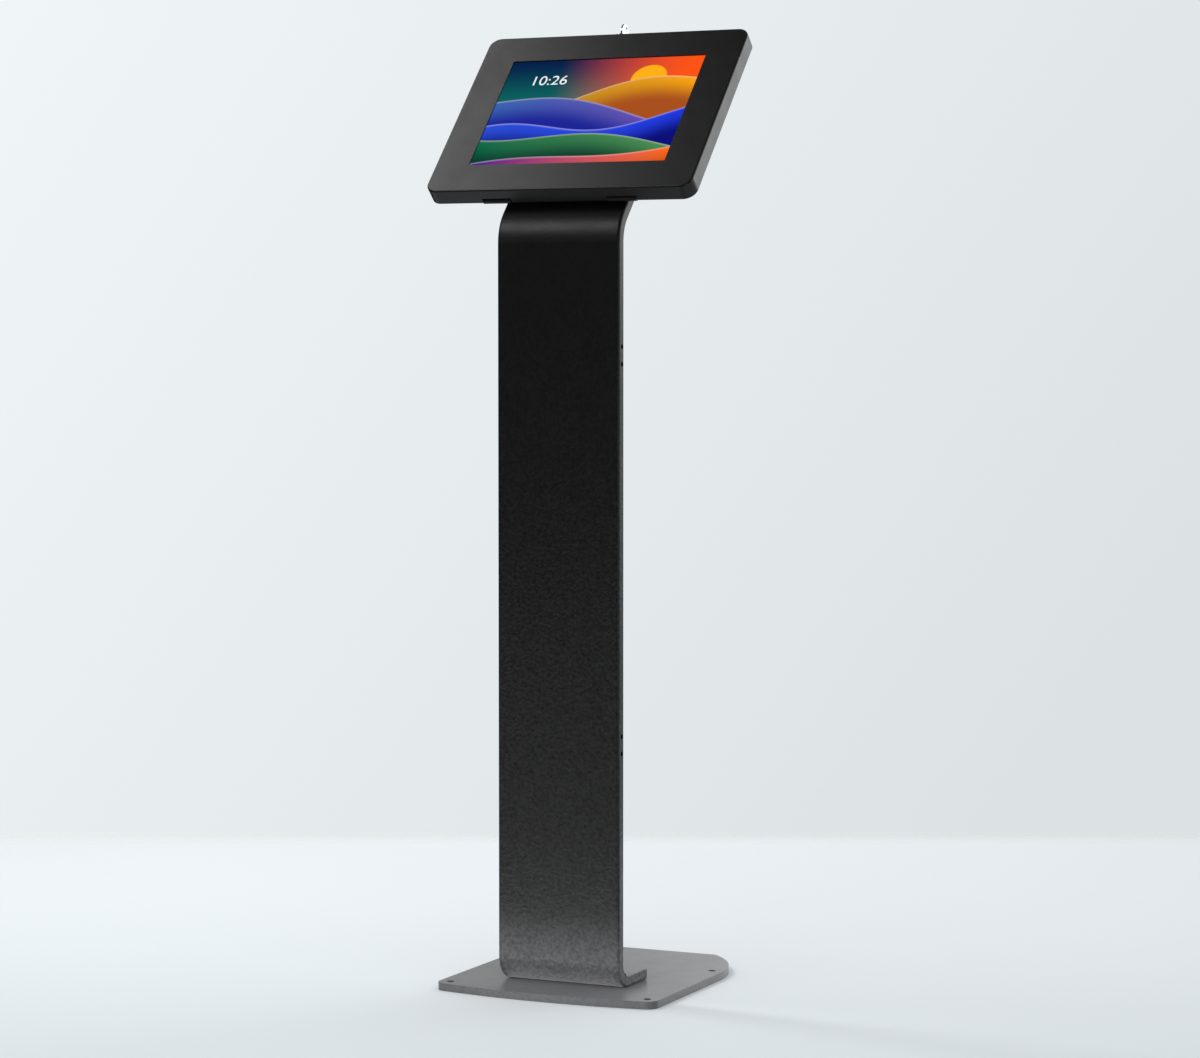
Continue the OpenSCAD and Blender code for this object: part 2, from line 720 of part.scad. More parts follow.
// Pressed steel pan with the screen window, swinging on ears at its lower rear edge
module front_cover() color(black_steel) difference() {
    enclosure_frame() difference() {
        union() {
            difference() {
                translate([0, mid_u, 0])
                    pressed_block(cover_w, cover_h, cover_d, cover_corner_r, cover_edge_r);
                translate([0, mid_u, -cover_d - cut]) linear_extrude(cover_d + cut - cover_sheet)
                    round_rect(cover_w, cover_h, cover_corner_r, -cover_sheet);
                at_hinges() translate([-knuckle_w / 2 - knuckle_gap, -pin_u - cut, -pin_inset - cut])
                    cube([knuckle_w + 2 * knuckle_gap, cover_sheet + 2 * cut,
                        pin_inset + cut + knuckle_r + 2 * knuckle_gap]);
            }
            at_hinges() for (s = [-1, 1]) translate([s * (knuckle_w / 2 + knuckle_gap + ear_w / 2), 0, 0]) {
                along_x(pin_u, ear_w);
                translate([-ear_w / 2, -pin_u, 0]) cube([ear_w, 2 * pin_u, ear_w]);
            }
        }
        at_hinges() along_x(pin_d / 2 + run_gap, knuckle_w + 2 * (knuckle_gap + ear_w));
        translate([0, tablet_u, -cover_sheet - cut]) linear_extrude(cover_sheet + 2 * cut)
            round_rect(window_w, window_h, window_r);
    }
    lock_frame() translate([0, 0, -cover_sheet - cut]) linear_extrude(cover_sheet + 2 * cut)
        barrel_outline(screw_gap);
}

// Rubber strip round the window, stuck to the inside of the front cover
module window_gasket() color(black_rubber) enclosure_frame()
    translate([0, tablet_u, -cover_sheet - gasket_t]) linear_extrude(gasket_t) difference() {
        round_rect(window_w, window_h, window_r, gasket_step + gasket_w);
        round_rect(window_w, window_h, window_r, gasket_step);
    }

// Chromed barrel of the cam lock, with its round head on the cover's top wall
module lock_body() color(bright_steel) lock_frame() difference() {
    union() {
        cylinder(d = head_d, h = head_t - head_bevel);
        translate([0, 0, head_t - head_bevel])
            cylinder(d1 = head_d, d2 = head_d - 2 * head_bevel, h = head_bevel);
        translate([0, 0, -barrel_len]) linear_extrude(barrel_len) barrel_outline(0);
    }
    translate([0, 0, -barrel_len - cut])
        cylinder(d = plug_d + 2 * run_gap, h = barrel_len + head_t + 2 * cut);
    translate([0, 0, rim_low]) cylinder(d = plug_rim_d + 2 * run_gap, h = head_t);
}

module lock_nut() color(bright_steel) lock_frame()
    translate([0, 0, -cover_sheet - nut_t]) hex_nut(nut_across, barrel_d + 2 * run_gap, nut_t);

// Plug that the key turns, with a square end for the cam
module lock_plug() color(bright_steel) lock_frame() difference() {
    union() {
        translate([0, 0, cam_top]) cylinder(d = plug_d, h = plug_top - cam_top);
        translate([0, 0, rim_low + run_gap]) cylinder(d = plug_rim_d, h = plug_top - rim_low - run_gap);
        translate([-stub_w / 2, -stub_w / 2, cam_low + screw_gap]) cube([stub_w, stub_w, cam_t]);
    }
    translate([-key_t / 2 - screw_gap, -blade_w / 2 - screw_gap, key_slot_low])
        cube([key_t + 2 * screw_gap, blade_w + 2 * screw_gap, plug_top - key_slot_low + cut]);
    translate([0, 0, cam_low]) cylinder(d = screw_d + 2 * run_gap, h = cam_grip + pocket_gap);
}

// Flat arm that lies clear of the strike and turns round behind it
module lock_cam() color(bright_steel) lock_frame() translate([0, 0, cam_low]) rotate([0, 0, 90])
    linear_extrude(cam_t) difference() {
        union() {
            circle(d = cam_hub_d);
            translate([-cam_w / 2, 0]) square([cam_w, cam_len - cam_w / 2]);
            translate([0, cam_len - cam_w / 2]) circle(d = cam_w);
        }
        square(stub_w + 2 * run_gap, center = true);
    }

// Screw with a flange that holds the cam on the plug's square end
module cam_screw() color(bright_steel) lock_frame() translate([0, 0, cam_low]) rotate([180, 0, 0]) {
    cylinder(d = cam_flange_d, h = cam_flange_t);
    translate([0, 0, cam_flange_t]) button_screw(screw_d, cam_flange_t + cam_grip);
}

// Flat key with a round bow and a row of cuts along its blade
module key() color(bright_steel) lock_frame() rotate([90, 0, 90]) translate([0, 0, -key_t / 2])
    linear_extrude(key_t) difference() {
        union() {
            translate([0, bow_mid]) circle(d = bow_d);
            translate([-shoulder_w / 2, plug_top + pocket_gap]) square([shoulder_w, bow_mid - plug_top]);
            translate([-blade_w / 2, key_low]) square([blade_w, blade_len + cut]);
        }
        translate([0, bow_mid + bow_d / 4]) circle(d = ring_hole_d);
        for (i = [1:key_cuts]) translate([blade_w / 2, key_low + i * key_cut_pitch]) rotate([0, 0, 45])
            square(key_cut_w, center = true);
    }

base_plate();
column();
foot_washers();
foot_bolts();
rear_cover();
rear_cover_screws();
rear_housing();
cable_grommet();
mount_bolts();
mount_washers();
mount_nuts();
hinge_pins();
corner_holders();
holder_screws();
strike();
strike_screws();
tablet_shell();
tablet_glass();
power_button();
volume_up_button();
volume_down_button();
front_cover();
window_gasket();
lock_body();
lock_nut();
lock_plug();
lock_cam();
cam_screw();
key();
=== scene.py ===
import json
import math

import bmesh
import bpy
from mathutils import Matrix, Vector


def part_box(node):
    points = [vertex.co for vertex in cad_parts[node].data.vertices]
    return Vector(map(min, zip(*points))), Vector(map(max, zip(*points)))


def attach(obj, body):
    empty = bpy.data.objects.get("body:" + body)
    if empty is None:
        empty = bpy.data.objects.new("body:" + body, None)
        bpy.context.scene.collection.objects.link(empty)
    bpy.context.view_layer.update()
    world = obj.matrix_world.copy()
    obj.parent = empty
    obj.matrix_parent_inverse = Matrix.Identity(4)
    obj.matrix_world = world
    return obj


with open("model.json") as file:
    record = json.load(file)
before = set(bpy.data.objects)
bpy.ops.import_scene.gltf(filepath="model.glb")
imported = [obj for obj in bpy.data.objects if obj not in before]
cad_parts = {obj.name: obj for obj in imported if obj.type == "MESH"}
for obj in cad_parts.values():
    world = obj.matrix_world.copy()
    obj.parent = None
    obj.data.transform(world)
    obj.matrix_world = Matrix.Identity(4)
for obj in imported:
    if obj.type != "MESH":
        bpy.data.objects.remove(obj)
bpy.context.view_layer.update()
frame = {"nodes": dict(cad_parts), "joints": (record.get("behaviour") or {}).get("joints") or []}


# Base plate
# A flat steel plate, laser cut and rounded at its corners, powder coated black.
# The column's foot is bolted down on it, and four holes take floor anchors.
nodes = frame["nodes"]
mm = 0.001


def linear(code):
    """The linear colour, with alpha, of an sRGB hex code."""
    parts = [int(code[place:place + 2], 16) / 255 for place in (1, 3, 5)]
    return [c / 12.92 if c <= 0.04045 else ((c + 0.055) / 1.055) ** 2.4 for c in parts] + [1.0]


def connect(node, sockets):
    """Sets or links a node's input sockets, by name or number."""
    for name, value in sockets.items():
        if isinstance(value, bpy.types.NodeSocket):
            node.id_data.links.new(value, node.inputs[name])
        else:
            node.inputs[name].default_value = value


def add(tree, kind, output, sockets, **settings):
    """Adds a node with its settings and links, and gives back one of its outputs."""
    node = tree.nodes.new(kind)
    for name, value in settings.items():
        setattr(node, name, value)
    connect(node, sockets)
    return node.outputs[output]


def new_material(name):
    """A new material with its node tree and its main shader."""
    material = bpy.data.materials.new(name)
    material.use_nodes = True
    return material, material.node_tree, material.node_tree.nodes["Principled BSDF"]


def paint(material, *names):
    """Puts a material on CAD nodes."""
    for name in names:
        for slot in nodes[name].material_slots:
            slot.material = material


# The colour sockets of a Mix node
mix_a, mix_b, mix_out = 6, 7, 2

# Powder-coated steel: the baked powder dries to a satin black skin with an orange-peel grain,
# which breaks the light up into a soft speckle. The grain shows more towards the floor, where its
# flecks are painted lighter and the coat is painted grey, as painted light from the pale floor.
# The real grain is under 1 mm, too fine to show, so it is drawn coarser.
coat_ior = 1.47
coat_grain = 4 * mm
fleck_dark = 0.3
fleck_light = 0.7
grain_low = 300 * mm
grain_high = 750 * mm
grain_least = 0.12
coat_cloud = 22 * mm
cloud_spread = 0.05
painted_light_low = 12 * mm
painted_light_high = 95 * mm


def powder_coat(name, grain_depth, roughness, painted_light_dark="#4d4d4e", painted_light_pale="#6d6d6f", sheen=0.0):
    """Black powder coat with a grain of some depth, painted grey near the floor as painted light."""
    material, tree, shader = new_material(name)
    spot = add(tree, "ShaderNodeTexCoord", "Object", {})
    height = add(tree, "ShaderNodeSeparateXYZ", "Z", {0: spot})
    grain = add(tree, "ShaderNodeTexNoise", "Fac", {"Vector": spot, "Scale": 1 / coat_grain, "Detail": 2.0})
    fleck = add(tree, "ShaderNodeMapRange", "Result",
                {"Value": grain, "From Min": fleck_dark, "From Max": fleck_light})
    rough = add(tree, "ShaderNodeMapRange", "Result",
                {"Value": height, "From Min": grain_high, "From Max": grain_low, "To Min": grain_least})
    # Painted light: the light flecks grow towards the floor, so the skin is painted lighter there
    painted_light_flecks = add(tree, "ShaderNodeMath", 0, {0: fleck, 1: rough}, operation="MULTIPLY")
    skin = add(tree, "ShaderNodeMix", mix_out,
               {0: painted_light_flecks, mix_a: linear("#121212"), mix_b: linear("#2a2a2a")}, data_type="RGBA")
    # Painted light: towards the floor the coat is painted grey, for the light thrown up by the pale floor
    painted_light_tone = add(tree, "ShaderNodeMix", mix_out,
               {0: fleck, mix_a: linear(painted_light_dark), mix_b: linear(painted_light_pale)}, data_type="RGBA")
    low = add(tree, "ShaderNodeMapRange", "Result",
              {"Value": height, "From Min": painted_light_high, "From Max": painted_light_low}, interpolation_type="SMOOTHSTEP")
    tone = add(tree, "ShaderNodeMix", mix_out, {0: low, mix_a: skin, mix_b: painted_light_tone}, data_type="RGBA")
    cloud = add(tree, "ShaderNodeTexNoise", "Fac", {"Vector": spot, "Scale": 1 / coat_cloud, "Detail": 1.0})
    shade = add(tree, "ShaderNodeMapRange", "Result",
                {"Value": cloud, "To Min": roughness - cloud_spread, "To Max": roughness + cloud_spread})
    peel = add(tree, "ShaderNodeBump", "Normal",
               {"Height": grain, "Strength": rough, "Distance": grain_depth})
    connect(shader, {"Base Color": tone, "Roughness": shade, "Normal": peel, "IOR": coat_ior,
                     "Sheen Weight": sheen, "Sheen Roughness": 0.4})
    return material


# The flat plate is painted grey all over, as painted light from the floor, and has a soft sheen at a low
# angle
base_coat = powder_coat("black_satin_powder_coat", grain_depth=0.15 * mm, roughness=0.33,
                        painted_light_dark="#555556", painted_light_pale="#636364", sheen=0.28)
paint(base_coat, "base_plate")


# Column
# One steel channel, folded along both sides and bent twice: a foot on the base, the upright,
# and the neck that leans back to carry the enclosure. Its powder coat has a coarse texture.
coarse_coat = powder_coat("black_textured_powder_coat", grain_depth=0.8 * mm, roughness=0.41)
paint(coarse_coat, "column")


# Bolts, washers and screws
# Button-head bolts on washers hold the foot and the enclosure, and flush countersunk screws the
# rear cover. All are steel, headed and turned, and then blackened.

# Black oxide on steel: an oiled dark skin that swallows even the light that grazes it.
oxide_patch = 1.5 * mm
black_oxide, tree, shader = new_material("black_oxide_steel")
spot = add(tree, "ShaderNodeTexCoord", "Object", {})
patch = add(tree, "ShaderNodeTexNoise", "Fac", {"Vector": spot, "Scale": 1 / oxide_patch, "Detail": 3.0})
skin = add(tree, "ShaderNodeMix", mix_out,
           {0: patch, mix_a: linear("#0d0d0e"), mix_b: linear("#1f1f21")}, data_type="RGBA")
shade = add(tree, "ShaderNodeMapRange", "Result", {"Value": patch, "To Min": 0.32, "To Max": 0.5})
connect(shader, {"Base Color": skin, "Roughness": shade, "Metallic": 1.0, "Specular Tint": linear("#707070")})
paint(black_oxide, "foot_bolts", "foot_washers", "rear_cover_screws", "mount_bolts", "mount_washers",
      "holder_screws", "strike_screws")


# Rear cover
# A folded steel sheet that slides into the back of the upright and hides the charging cable.
# Four screws from each side hold it, and it is coated like the column.
paint(coarse_coat, "rear_cover")


# Rear housing and cable grommet
# The pressed steel back of the enclosure, bolted to the neck, with two hinge knuckles at its
# lower edge. A moulded rubber grommet lines the cable hole through its floor.

# The enclosure's coat lies flatter than the column's, so its faces look even.
smooth_coat = powder_coat("black_smooth_powder_coat", grain_depth=0.1 * mm, roughness=0.34)
paint(smooth_coat, "rear_housing")

# Moulded rubber: dull and nearly black, with the fine grain of its mould, drawn coarse enough to show.
rubber_grain = 1.2 * mm
rubber, tree, shader = new_material("black_rubber")
spot = add(tree, "ShaderNodeTexCoord", "Object", {})
grain = add(tree, "ShaderNodeTexNoise", "Fac", {"Vector": spot, "Scale": 1 / rubber_grain, "Detail": 3.0})
skin = add(tree, "ShaderNodeMix", mix_out,
           {0: grain, mix_a: linear("#0f0f10"), mix_b: linear("#1d1d1e")}, data_type="RGBA")
peel = add(tree, "ShaderNodeBump", "Normal", {"Height": grain, "Strength": 0.3, "Distance": 0.1 * mm})
connect(shader, {"Base Color": skin, "Roughness": 0.72, "Normal": peel})
paint(rubber, "cable_grommet")


# Nuts, hinge pins, strike and cam
# Small steel pieces inside the enclosure: the nuts of its bolts, the pins of the cover's hinge,
# and the cam on the lock with the strike that it turns behind.

# Zinc plating: a bright grey metal, clouded a little by its passivation.
zinc_cloud = 5 * mm
zinc, tree, shader = new_material("zinc_plated_steel")
spot = add(tree, "ShaderNodeTexCoord", "Object", {})
cloud = add(tree, "ShaderNodeTexNoise", "Fac", {"Vector": spot, "Scale": 1 / zinc_cloud, "Detail": 4.0})
skin = add(tree, "ShaderNodeMix", mix_out,
           {0: cloud, mix_a: linear("#a9adb3"), mix_b: linear("#d0d0ca")}, data_type="RGBA")
shade = add(tree, "ShaderNodeMapRange", "Result", {"Value": cloud, "To Min": 0.25, "To Max": 0.42})
connect(shader, {"Base Color": skin, "Roughness": shade, "Metallic": 1.0})
paint(zinc, "mount_nuts", "hinge_pins", "strike", "lock_nut", "lock_cam", "cam_screw")


# Corner holders
# Four plastic corners that seat the tablet, moulded in one piece each and screwed to the
# housing's rim from behind.

# Moulded ABS: a matte black plastic with the fine spark grain of its mould, drawn coarse enough to show.
spark_grain = 0.9 * mm
abs_plastic, tree, shader = new_material("black_moulded_abs")
spot = add(tree, "ShaderNodeTexCoord", "Object", {})
grain = add(tree, "ShaderNodeTexNoise", "Fac", {"Vector": spot, "Scale": 1 / spark_grain, "Detail": 2.0})
skin = add(tree, "ShaderNodeMix", mix_out,
           {0: grain, mix_a: linear("#151618"), mix_b: linear("#212225")}, data_type="RGBA")
peel = add(tree, "ShaderNodeBump", "Normal", {"Height": grain, "Strength": 0.4, "Distance": 0.1 * mm})
connect(shader, {"Base Color": skin, "Roughness": 0.5, "Normal": peel})
paint(abs_plastic, "corner_holders")


# Tablet shell and buttons
# The tablet's back, machined from aluminium, with the charging port and three buttons in its
# edges. It lies in the corner holders.

# Blasted and anodised aluminium: an even grey with a fine frosted glitter. The blasting's real
# pits are under 0.1 mm, too fine to show, so they are drawn coarser.
blast_grain = 0.6 * mm
anodised, tree, shader = new_material("grey_anodised_aluminium")
spot = add(tree, "ShaderNodeTexCoord", "Object", {})
grain = add(tree, "ShaderNodeTexNoise", "Fac", {"Vector": spot, "Scale": 1 / blast_grain, "Detail": 2.0})
skin = add(tree, "ShaderNodeMix", mix_out,
           {0: grain, mix_a: linear("#6d7074"), mix_b: linear("#7f8286")}, data_type="RGBA")
shade = add(tree, "ShaderNodeMapRange", "Result", {"Value": grain, "To Min": 0.32, "To Max": 0.44})
connect(shader, {"Base Color": skin, "Roughness": shade, "Metallic": 1.0})
paint(anodised, "tablet_shell", "power_button", "volume_up_button", "volume_down_button")


# Tablet glass
# Polished cover glass, bonded over the display in the tablet's shell. The lit picture is a plain
# pattern of rolling dunes, and ends in the black ink border that the window hides.
to_right = Vector((1, 0, 0))
lock_axis = next(Vector(joint["axis"]) for joint in frame["joints"] if joint["name"] == "lock_turn")
face_up = -lock_axis
face_out = to_right.cross(face_up)
face_turn = Matrix((to_right, face_up, face_out)).transposed()
glass_low, glass_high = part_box("tablet_glass")
glass_mid = (glass_low + glass_high) / 2

# Lit glass: the picture glows through, and the polished front mirrors the room faintly.
# The picture is drawn on a grid that runs from -0.5 to 0.5 across the display and up it.
display_w = 229 * mm
display_h = 163 * mm
half = 0.5
lit_glass, tree, shader = new_material("lit_display_glass")
spot = add(tree, "ShaderNodeTexCoord", "Object", {})
grid = add(tree, "ShaderNodeMapping", "Vector",
           {"Vector": spot, "Location": glass_mid, "Rotation": face_turn.to_euler(),
            "Scale": (display_w, display_h, 1)}, vector_type="TEXTURE")
across = add(tree, "ShaderNodeSeparateXYZ", "X", {0: grid})
up = add(tree, "ShaderNodeSeparateXYZ", "Y", {0: grid})

# The sky turns from night blue at the left to a warm right, and greener towards the ground
warm_start = -0.25
side = add(tree, "ShaderNodeMapRange", "Result", {"Value": across, "From Min": warm_start, "From Max": half},
           interpolation_type="SMOOTHSTEP")
fall = add(tree, "ShaderNodeMapRange", "Result", {"Value": up, "From Min": half, "From Max": 0.0},
           interpolation_type="SMOOTHSTEP")
night = add(tree, "ShaderNodeMix", mix_out,
            {0: fall, mix_a: linear("#03204a"), mix_b: linear("#0a6a62")}, data_type="RGBA")
picture = add(tree, "ShaderNodeMix", mix_out,
              {0: side, mix_a: night, mix_b: linear("#ff5410")}, data_type="RGBA")

# A low sun, kept round on a display that is wider than it is high
sun_place = (0.24, 0.3, 0)
sun_radius = 0.12
sun_rim = 0.01
from_sun = add(tree, "ShaderNodeVectorMath", "Vector", {0: grid, 1: sun_place}, operation="SUBTRACT")
even = add(tree, "ShaderNodeVectorMath", "Vector", {0: from_sun, 1: (display_w / display_h, 1, 0)},
           operation="MULTIPLY")
sun_far = add(tree, "ShaderNodeVectorMath", "Value", {0: even}, operation="LENGTH")
disc = add(tree, "ShaderNodeMapRange", "Result",
           {"Value": sun_far, "From Min": sun_radius + sun_rim, "From Max": sun_radius})
picture = add(tree, "ShaderNodeMix", mix_out,
              {0: disc, mix_a: picture, mix_b: linear("#ffb014")}, data_type="RGBA")

# The dunes, from the far one to the near one: the height, slope, swing, turns and phase of the
# crest, and the colours at its left, at its right and at the foot
dunes = [
    (0.16, 0.22, 0.10, 0.8, 0.4, "#77702e", "#ffa80c", "#a8501c"),
    (0.02, -0.20, 0.09, 0.7, 2.2, "#3a66b2", "#6a44ae", "#1b2496"),
    (-0.10, 0.16, 0.08, 0.9, 4.1, "#2b50d8", "#2038e2", "#080e78"),
    (-0.25, -0.14, 0.06, 0.8, 1.0, "#0c6b48", "#4d8f52", "#04382c"),
    (-0.40, 0.20, 0.05, 0.7, 3.3, "#0a1590", "#ff6a0a", "#b03604"),
]
dune_depth = 0.24
gleam_depth = 0.02
gleam_most = 0.35
crest_rim = 0.004
breadth = add(tree, "ShaderNodeMapRange", "Result", {"Value": across, "From Min": -half, "From Max": half})
for height, slope, swing, turns, phase, left, right, foot in dunes:
    line = add(tree, "ShaderNodeMath", 0, {0: across, 1: slope, 2: height}, operation="MULTIPLY_ADD")
    angle = add(tree, "ShaderNodeMath", 0, {0: across, 1: turns * math.tau, 2: phase},
                operation="MULTIPLY_ADD")
    wave = add(tree, "ShaderNodeMath", 0, {0: angle}, operation="SINE")
    crest = add(tree, "ShaderNodeMath", 0, {0: wave, 1: swing, 2: line}, operation="MULTIPLY_ADD")
    below = add(tree, "ShaderNodeMath", 0, {0: crest, 1: up}, operation="SUBTRACT")
    ridge = add(tree, "ShaderNodeMix", mix_out,
                {0: breadth, mix_a: linear(left), mix_b: linear(right)}, data_type="RGBA")
    fade = add(tree, "ShaderNodeMapRange", "Result", {"Value": below, "From Max": dune_depth},
               interpolation_type="SMOOTHSTEP")
    sand = add(tree, "ShaderNodeMix", mix_out, {0: fade, mix_a: ridge, mix_b: linear(foot)}, data_type="RGBA")
    gleam = add(tree, "ShaderNodeMapRange", "Result",
                {"Value": below, "From Min": gleam_depth, "From Max": 0.0, "To Max": gleam_most})
    bright = add(tree, "ShaderNodeMix", mix_out,
                 {0: gleam, mix_a: sand, mix_b: linear("#f4e9d8")}, data_type="RGBA")
    cover = add(tree, "ShaderNodeMapRange", "Result", {"Value": below, "From Max": crest_rim})
    picture = add(tree, "ShaderNodeMix", mix_out, {0: cover, mix_a: picture, mix_b: bright}, data_type="RGBA")

# The picture ends at the display's edge
reach = add(tree, "ShaderNodeVectorMath", "Vector", {0: grid}, operation="ABSOLUTE")
reach_across = add(tree, "ShaderNodeSeparateXYZ", "X", {0: reach})
reach_up = add(tree, "ShaderNodeSeparateXYZ", "Y", {0: reach})
reach_most = add(tree, "ShaderNodeMath", 0, {0: reach_across, 1: reach_up}, operation="MAXIMUM")
inside = add(tree, "ShaderNodeMath", 0, {0: reach_most, 1: half}, operation="LESS_THAN")
lit = add(tree, "ShaderNodeMix", mix_out,
          {0: inside, mix_a: linear("#000000"), mix_b: picture}, data_type="RGBA")
glass_black = linear("#050506")
connect(shader, {"Base Color": glass_black, "Roughness": 0.06, "IOR": 1.5,
                 "Emission Color": lit, "Emission Strength": 1.0})
paint(lit_glass, "tablet_glass")


# Clock figures
# The time on the display, in plain white figures of light. They lie a hair in front of the
# glass, as one flat sheet.
scene = bpy.context.scene
clock_h = 20 * mm
clock_lift = 0.05 * mm
glass_front = max((corner.co - glass_mid).dot(face_out) for corner in nodes["tablet_glass"].data.vertices)
clock_place = Vector((-62 * mm, 44 * mm, glass_front + clock_lift))
lettering = bpy.data.curves.new("clock", "FONT")
lettering.body = "10:26"
lettering.size = clock_h
lettering.align_x = "CENTER"
letters = bpy.data.objects.new("clock_letters", lettering)
scene.collection.objects.link(letters)
mesh = bpy.data.meshes.new_from_object(letters.evaluated_get(bpy.context.evaluated_depsgraph_get()))
bpy.data.objects.remove(letters)
mesh.transform(Matrix.Translation(glass_mid) @ face_turn.to_4x4() @ Matrix.Translation(clock_place))
clock = bpy.data.objects.new("clock_figures", mesh)
scene.collection.objects.link(clock)

# Lit figures: an even white glow behind the same polished glass.
lit_figures, tree, shader = new_material("lit_white_figures")
connect(shader, {"Base Color": glass_black, "Roughness": 0.06,
                 "Emission Color": linear("#f2f4f6"), "Emission Strength": 1.0})
mesh.materials.clear()
mesh.materials.append(lit_figures)
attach(clock, "stand")


# Front cover and window gasket
# A pressed steel pan with the screen window cut in its face, coated like the rear housing. It
# swings forward on two ears at its lower edge, and a rubber strip seals its window to the glass.
paint(smooth_coat, "front_cover")
paint(rubber, "window_gasket")


# Lock and key
# A cam lock of chromed brass: its turned head in the cover's top wall, its plug, and a flat
# stamped key.

# Polished chrome: a mirror with the faint marks of the polishing wheel, drawn coarse enough to show.
polish_line = 0.8 * mm
chrome, tree, shader = new_material("polished_chrome")
spot = add(tree, "ShaderNodeTexCoord", "Object", {})
marks = add(tree, "ShaderNodeTexNoise", "Fac", {"Vector": spot, "Scale": 1 / polish_line, "Detail": 3.0})
shade = add(tree, "ShaderNodeMapRange", "Result", {"Value": marks, "To Min": 0.05, "To Max": 0.16})
connect(shader, {"Base Color": linear("#e4e5e8"), "Roughness": shade, "Metallic": 1.0})
paint(chrome, "lock_body", "lock_plug", "key")


# Camera
# A long lens in front of the stand and to its right, a little lower than the enclosure.
# It stands where the photograph was taken from.
camera_place = Vector((1495.5, -3219.4, 684.4)) * mm
camera_aim = Vector((-0.41933, 0.90609, -0.05626))
lens_mm = 99.81
sensor_mm = 36
sight_end = 100
camera = bpy.data.objects.new("camera", bpy.data.cameras.new("camera"))
camera.data.lens = lens_mm
camera.data.sensor_width = sensor_mm
camera.data.clip_end = sight_end
camera.location = camera_place
camera.rotation_euler = camera_aim.to_track_quat("-Z", "Y").to_euler()
scene.collection.objects.link(camera)
scene.camera = camera
scene.view_settings.view_transform = "Standard"


# Floor
# A pale painted board under the stand. Its far edge lies square to the view, where the
# photograph has its horizon.
floor_far = 4.62
floor_near = -3.0
floor_half = 6.0
floor_drop = 0.2 * mm
ahead = Vector((camera_aim.x, camera_aim.y, 0)).normalized()
aside = ahead.cross(Vector((0, 0, 1)))
under_camera = Vector((camera_place.x, camera_place.y, -floor_drop))
floor_corners = [(floor_near, floor_half), (floor_far, floor_half),
                 (floor_far, -floor_half), (floor_near, -floor_half)]
board = bmesh.new()
board.faces.new([board.verts.new(under_camera + ahead * along + aside * out) for along, out in floor_corners])
mesh = bpy.data.meshes.new("floor")
board.to_mesh(mesh)
board.free()
floor = bpy.data.objects.new("floor", mesh)
scene.collection.objects.link(floor)

# Painted board: pale and matte, with painted shade that makes it a little greyer towards the
# front. For all rays but the camera's, painted shade makes it dark away from the stand and only
# partly pale round it, so what shines or takes its bounce sees a dark room in front.
lit_start = -0.5
lit_end = -0.2
lit_most = 0.65
front_shade_start = 0.3
front_shade_end = -0.6
floor_paint, tree, shader = new_material("pale_floor_paint")
spot = add(tree, "ShaderNodeTexCoord", "Object", {})
back = add(tree, "ShaderNodeSeparateXYZ", "Y", {0: spot})
seen = add(tree, "ShaderNodeLightPath", "Is Camera Ray", {})
# Painted shade: the board turns greyer towards the front
front_shade = add(tree, "ShaderNodeMapRange", "Result",
             {"Value": back, "From Min": front_shade_start, "From Max": front_shade_end})
pale = add(tree, "ShaderNodeMix", mix_out,
           {0: front_shade, mix_a: linear("#f5f9fb"), mix_b: linear("#f0f5f8")}, data_type="RGBA")
# Painted shade: for other rays the board is dark away from the stand and only partly pale near it
near = add(tree, "ShaderNodeMapRange", "Result",
           {"Value": back, "From Min": lit_start, "From Max": lit_end, "To Max": lit_most},
           interpolation_type="SMOOTHSTEP")
lit_part = add(tree, "ShaderNodeMath", 0, {0: near, 1: seen}, operation="MAXIMUM")
tone = add(tree, "ShaderNodeMix", mix_out,
           {0: lit_part, mix_a: linear("#1c1c1d"), mix_b: pale}, data_type="RGBA")

# The board fades out at its far edge, and for the camera all round, as a studio sweep does
edge_fade = 0.13
sweep_start = 1.4
sweep_end = 3.4
far_depth = under_camera.dot(ahead) + floor_far
depth = add(tree, "ShaderNodeVectorMath", "Value", {0: spot, 1: ahead}, operation="DOT_PRODUCT")
edge = add(tree, "ShaderNodeMapRange", "Result",
           {"Value": depth, "From Min": far_depth, "From Max": far_depth - edge_fade},
           interpolation_type="SMOOTHSTEP")
far_off = add(tree, "ShaderNodeVectorMath", "Value", {0: spot}, operation="LENGTH")
sweep = add(tree, "ShaderNodeMapRange", "Result",
            {"Value": far_off, "From Min": sweep_end, "From Max": sweep_start},
            interpolation_type="SMOOTHSTEP")
unseen = add(tree, "ShaderNodeMath", 0, {0: 1.0, 1: seen}, operation="SUBTRACT")
solid = add(tree, "ShaderNodeMath", 0, {0: sweep, 1: unseen}, operation="MAXIMUM")
shown = add(tree, "ShaderNodeMath", 0, {0: edge, 1: solid}, operation="MULTIPLY")
connect(shader, {"Base Color": tone, "Roughness": 0.9, "Alpha": shown})
mesh.materials.append(floor_paint)


# Room
# Soft even light from all round. The camera sees a pale backdrop, and what shines mirrors a pale
# wall behind the stand and a dark room in front of it.
world = bpy.data.worlds.new("studio")
world.use_nodes = True
scene.world = world
tree = world.node_tree
sight = add(tree, "ShaderNodeTexCoord", "Generated", {})

# The backdrop darkens a little towards its lower right corner
backdrop_fall = 0.7
corner_start = -0.25
corner_end = 0.22
down_right = aside - Vector((0, 0, backdrop_fall))
to_corner = add(tree, "ShaderNodeVectorMath", "Value", {0: sight, 1: down_right}, operation="DOT_PRODUCT")
corner = add(tree, "ShaderNodeMapRange", "Result",
             {"Value": to_corner, "From Min": corner_start, "From Max": corner_end})
backdrop = add(tree, "ShaderNodeMix", mix_out,
               {0: corner, mix_a: linear("#f0f5f8"), mix_b: linear("#dce1e4")}, data_type="RGBA")

